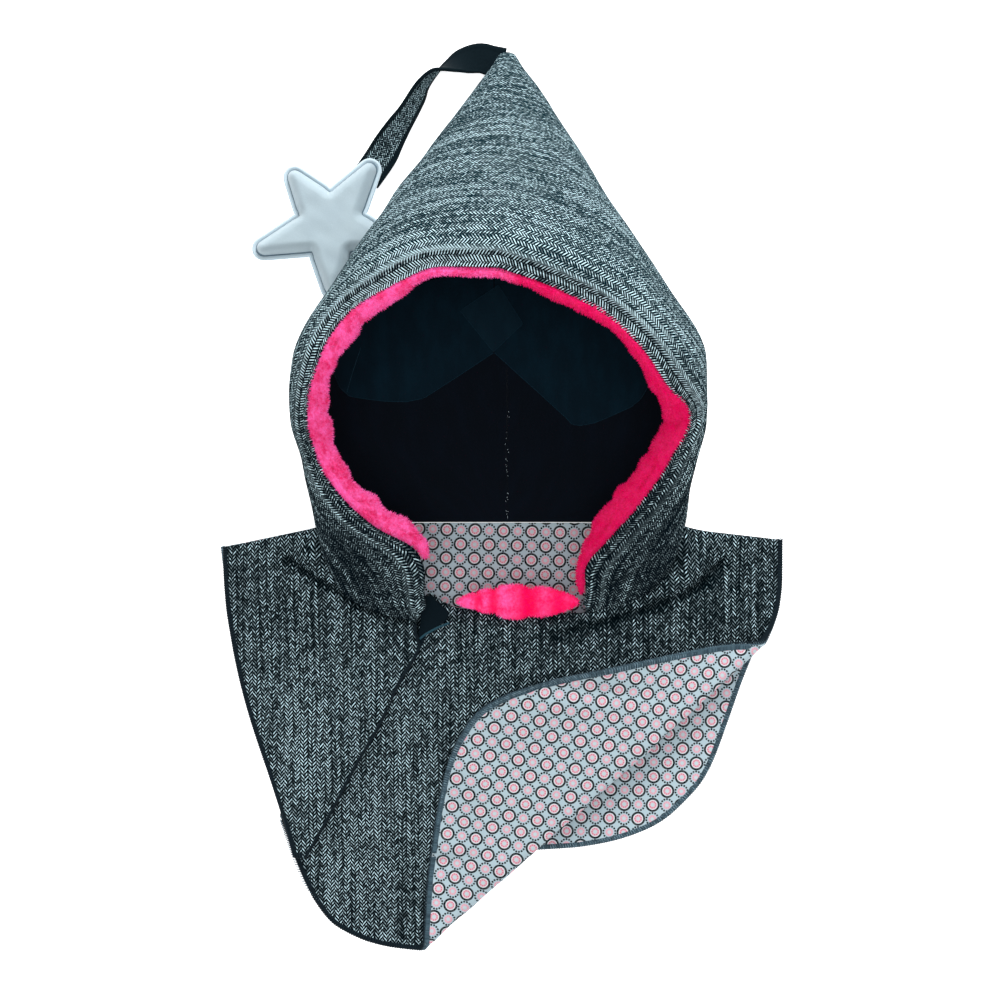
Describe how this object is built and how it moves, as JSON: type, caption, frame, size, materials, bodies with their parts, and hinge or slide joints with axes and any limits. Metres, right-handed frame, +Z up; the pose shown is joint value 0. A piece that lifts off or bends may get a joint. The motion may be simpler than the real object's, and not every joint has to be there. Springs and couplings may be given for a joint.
{
  "type": "child's pointed hood with cape",
  "caption": "Lined tweed hood with a long pointed top, plush-edged face opening, open-sided short cape with a diagonal front closure, and a strap from the tip to a stuffed star.",
  "frame": {"origin": "on the table, on the back cape panel's underside, 11 mm below the neck seam, on the line that the hood's halves share", "axes": "+Z up from the table, out of the face opening; +Y from the neck to the pointed tip; +X towards the right of the picture, the wearer's left"},
  "size_m": [0.3336, 0.544, 0.1487],
  "materials": {
    "tweed": "herringbone woven, matte",
    "black_lining": "soft jersey, matte",
    "plush": "short pile",
    "print": "printed cotton",
    "tape": "hook-and-loop tape",
    "silver": "soft, faintly shiny"
  },
  "bodies": {
    "root": {"hood_shell": "tweed", "hood_lining": "black_lining", "face_trim": "plush", "chin_trim": "plush", "cape_back": "tweed", "cape_back_lining": "print", "cape_front": "tweed", "cape_front_lining": "print", "cape_left": "tweed", "closure_tape": "tape", "tail_strap": "tweed", "star": "silver"}
  },
  "joints": []
}
